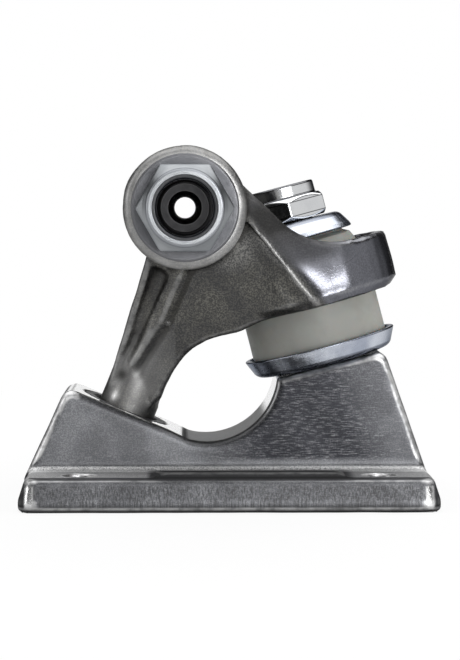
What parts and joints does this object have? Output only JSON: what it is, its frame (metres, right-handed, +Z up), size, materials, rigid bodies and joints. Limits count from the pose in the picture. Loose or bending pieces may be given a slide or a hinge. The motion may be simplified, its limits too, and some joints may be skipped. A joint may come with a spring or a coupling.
{
  "type": "skateboard truck",
  "caption": "Skateboard truck: cast base plate, a hanger that rocks on bushings round a kingpin, and a hollow axle with lock nuts and speed washers.",
  "frame": {"origin": "middle of the base plate's deck face", "axes": "+Z up away from the deck, +Y along the axle, +X from the pivot towards the kingpin"},
  "size_m": [0.0754, 0.212, 0.0647],
  "materials": {
    "cast_base": "satin sand-cast aluminium, brushed on its sides",
    "pivot_cup": "moulded black urethane",
    "kingpin_steel": "forged steel",
    "zinc_washer": "bright zinc, pressed",
    "urethane": "matte grey-olive urethane",
    "nut_chrome": "bright plating",
    "nut_insert": "nylon",
    "cast_hanger": "tumbled sand-cast aluminium",
    "axle_steel": "dark hardened steel"
  },
  "bodies": {
    "base": {"baseplate": "cast_base", "pivot_cup": "pivot_cup", "kingpin": "kingpin_steel", "bottom_washer": "zinc_washer", "bottom_bushing": "urethane", "top_bushing": "urethane"},
    "hanger": {"hanger": "cast_hanger", "axle": "axle_steel"},
    "top_washer": {"top_washer": "zinc_washer"},
    "kingpin_nut": {"kingpin_nut": "nut_chrome", "kingpin_nut_insert": "nut_insert"},
    "inner_washer_left": {"inner_washer_left": "zinc_washer"},
    "outer_washer_left": {"outer_washer_left": "zinc_washer"},
    "axle_nut_left": {"axle_nut_left": "nut_chrome", "axle_nut_insert_left": "nut_insert"},
    "inner_washer_right": {"inner_washer_right": "zinc_washer"},
    "outer_washer_right": {"outer_washer_right": "zinc_washer"},
    "axle_nut_right": {"axle_nut_right": "nut_chrome", "axle_nut_insert_right": "nut_insert"}
  },
  "joints": [
    {"name": "hanger_steer", "type": "hinge", "parent": "base", "child": "hanger", "pos_m": [-0.0216, 0, 0.0105], "axis": [0.7769, 0, 0.6296], "range_deg": [-15, 15], "stiffness_Nm_per_rad": 30, "deforming": ["bottom_bushing", "top_bushing"]},
    {"name": "top_washer_slide", "type": "slide", "parent": "base", "child": "top_washer", "axis": [-0.2521, 0, 0.9677], "range_m": [-0.00054, 0.00107], "deforming": ["top_bushing"]},
    {"name": "kingpin_nut_spin", "type": "hinge", "parent": "top_washer", "child": "kingpin_nut", "pos_m": [0.01051, 0, 0.05452], "axis": [-0.2521, 0, 0.9677], "range_deg": [-180, 360]},
    {"name": "inner_washer_left_slide", "type": "slide", "parent": "hanger", "child": "inner_washer_left", "axis": [0, -1, 0], "range_m": [0, 0.014]},
    {"name": "outer_washer_left_slide", "type": "slide", "parent": "hanger", "child": "outer_washer_left", "axis": [0, -1, 0], "range_m": [-0.00636, 0]},
    {"name": "axle_nut_left_spin", "type": "hinge", "parent": "outer_washer_left", "child": "axle_nut_left", "pos_m": [-0.0079, -0.1023, 0.054], "axis": [0, -1, 0], "range_deg": [-2160, 0]},
    {"name": "inner_washer_right_slide", "type": "slide", "parent": "hanger", "child": "inner_washer_right", "axis": [0, 1, 0], "range_m": [0, 0.014]},
    {"name": "outer_washer_right_slide", "type": "slide", "parent": "hanger", "child": "outer_washer_right", "axis": [0, 1, 0], "range_m": [-0.00636, 0]},
    {"name": "axle_nut_right_spin", "type": "hinge", "parent": "outer_washer_right", "child": "axle_nut_right", "pos_m": [-0.0079, 0.1023, 0.054], "axis": [0, 1, 0], "range_deg": [-2160, 0]}
  ],
  "couplings": [
    {"joint": "top_washer_slide", "follows": "kingpin_nut_spin", "m_per_rad": 0.00016844},
    {"joint": "outer_washer_left_slide", "follows": "axle_nut_left_spin", "m_per_rad": 0.00016844},
    {"joint": "outer_washer_right_slide", "follows": "axle_nut_right_spin", "m_per_rad": 0.00016844}
  ]
}
